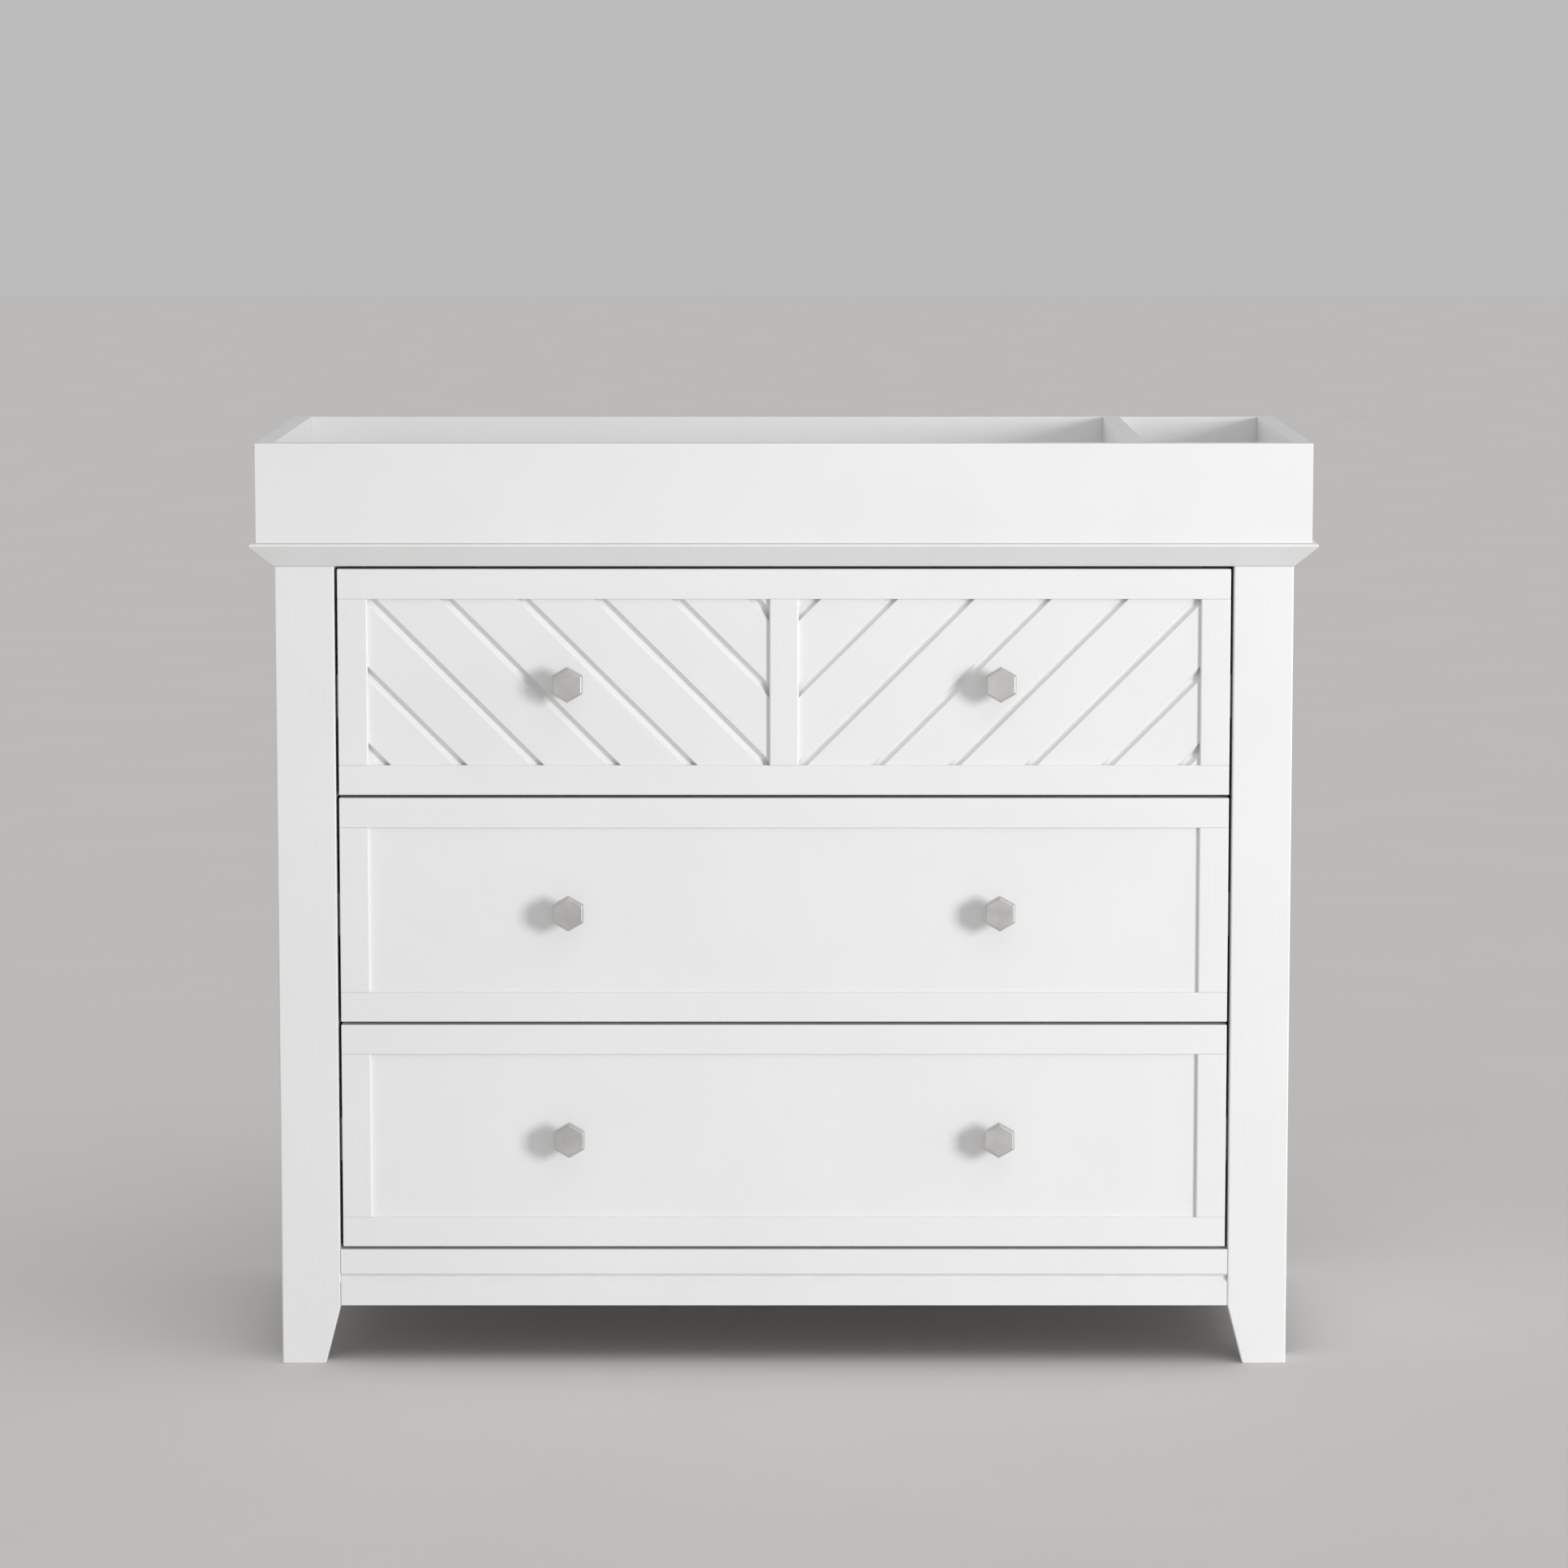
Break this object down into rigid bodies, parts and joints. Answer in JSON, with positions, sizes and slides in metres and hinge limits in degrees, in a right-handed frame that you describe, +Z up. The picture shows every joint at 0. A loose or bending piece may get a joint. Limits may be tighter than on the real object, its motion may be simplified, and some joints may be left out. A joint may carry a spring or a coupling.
{
  "type": "changing table",
  "caption": "Painted nursery chest with full-width drawers on telescopic slides, a chevron-grooved top drawer front, hexagonal knobs and an open changing topper.",
  "frame": {"origin": "on the floor, under the centre of the whole object's box", "axes": "+X to the right as seen from the front, +Y towards the back, +Z up; the drawers open towards -Y"},
  "size_m": [1.067, 0.498, 0.9386],
  "materials": {
    "paint": "satin white lacquer on fibreboard and solid wood",
    "box_lacquer": "white foil-faced board, low sheen",
    "hardboard": "hardboard, white-faced towards the inside, raw outside",
    "slide_steel": "bright zinc plate",
    "knob_nickel": "satin nickel"
  },
  "bodies": {
    "chest": {"top_panel": "paint", "front_leg_left": "paint", "front_leg_right": "paint", "back_leg_left": "paint", "back_leg_right": "paint", "side_panel_left": "paint", "side_panel_right": "paint", "runner_board_left": "paint", "runner_board_right": "paint", "front_apron": "paint", "base_panel": "paint", "back_panel": "hardboard", "back_top_rail": "paint", "topper_front": "paint", "topper_back": "paint", "topper_left": "paint", "topper_right": "paint", "topper_divider": "paint", "bottom_slide_left_case_member": "slide_steel", "bottom_slide_right_case_member": "slide_steel", "middle_slide_left_case_member": "slide_steel", "middle_slide_right_case_member": "slide_steel", "top_slide_left_case_member": "slide_steel", "top_slide_right_case_member": "slide_steel"},
    "bottom_drawer": {"bottom_drawer_front_frame": "paint", "bottom_drawer_front_panel": "paint", "bottom_drawer_side_left": "box_lacquer", "bottom_drawer_side_right": "box_lacquer", "bottom_drawer_back": "box_lacquer", "bottom_drawer_base": "hardboard", "bottom_drawer_knob_left": "knob_nickel", "bottom_drawer_knob_right": "knob_nickel", "bottom_slide_left_drawer_member": "slide_steel", "bottom_slide_right_drawer_member": "slide_steel"},
    "bottom_slide_middle": {"bottom_slide_left_middle_member": "slide_steel", "bottom_slide_right_middle_member": "slide_steel"},
    "middle_drawer": {"middle_drawer_front_frame": "paint", "middle_drawer_front_panel": "paint", "middle_drawer_side_left": "box_lacquer", "middle_drawer_side_right": "box_lacquer", "middle_drawer_back": "box_lacquer", "middle_drawer_base": "hardboard", "middle_drawer_knob_left": "knob_nickel", "middle_drawer_knob_right": "knob_nickel", "middle_slide_left_drawer_member": "slide_steel", "middle_slide_right_drawer_member": "slide_steel"},
    "middle_slide_middle": {"middle_slide_left_middle_member": "slide_steel", "middle_slide_right_middle_member": "slide_steel"},
    "top_drawer": {"top_drawer_front_frame": "paint", "top_drawer_front_panel": "paint", "top_drawer_side_left": "box_lacquer", "top_drawer_side_right": "box_lacquer", "top_drawer_back": "box_lacquer", "top_drawer_base": "hardboard", "top_drawer_knob_left": "knob_nickel", "top_drawer_knob_right": "knob_nickel", "top_slide_left_drawer_member": "slide_steel", "top_slide_right_drawer_member": "slide_steel"},
    "top_slide_middle": {"top_slide_left_middle_member": "slide_steel", "top_slide_right_middle_member": "slide_steel"}
  },
  "joints": [
    {"name": "bottom_drawer_pull", "type": "slide", "parent": "chest", "child": "bottom_drawer", "axis": [0, -1, 0], "range_m": [0, 0.38]},
    {"name": "bottom_slide_middle_travel", "type": "slide", "parent": "chest", "child": "bottom_slide_middle", "axis": [0, -1, 0], "range_m": [0, 0.19]},
    {"name": "middle_drawer_pull", "type": "slide", "parent": "chest", "child": "middle_drawer", "axis": [0, -1, 0], "range_m": [0, 0.38]},
    {"name": "middle_slide_middle_travel", "type": "slide", "parent": "chest", "child": "middle_slide_middle", "axis": [0, -1, 0], "range_m": [0, 0.19]},
    {"name": "top_drawer_pull", "type": "slide", "parent": "chest", "child": "top_drawer", "axis": [0, -1, 0], "range_m": [0, 0.38]},
    {"name": "top_slide_middle_travel", "type": "slide", "parent": "chest", "child": "top_slide_middle", "axis": [0, -1, 0], "range_m": [0, 0.19]}
  ],
  "couplings": [
    {"joint": "bottom_slide_middle_travel", "follows": "bottom_drawer_pull", "ratio": 0.5},
    {"joint": "middle_slide_middle_travel", "follows": "middle_drawer_pull", "ratio": 0.5},
    {"joint": "top_slide_middle_travel", "follows": "top_drawer_pull", "ratio": 0.5}
  ]
}
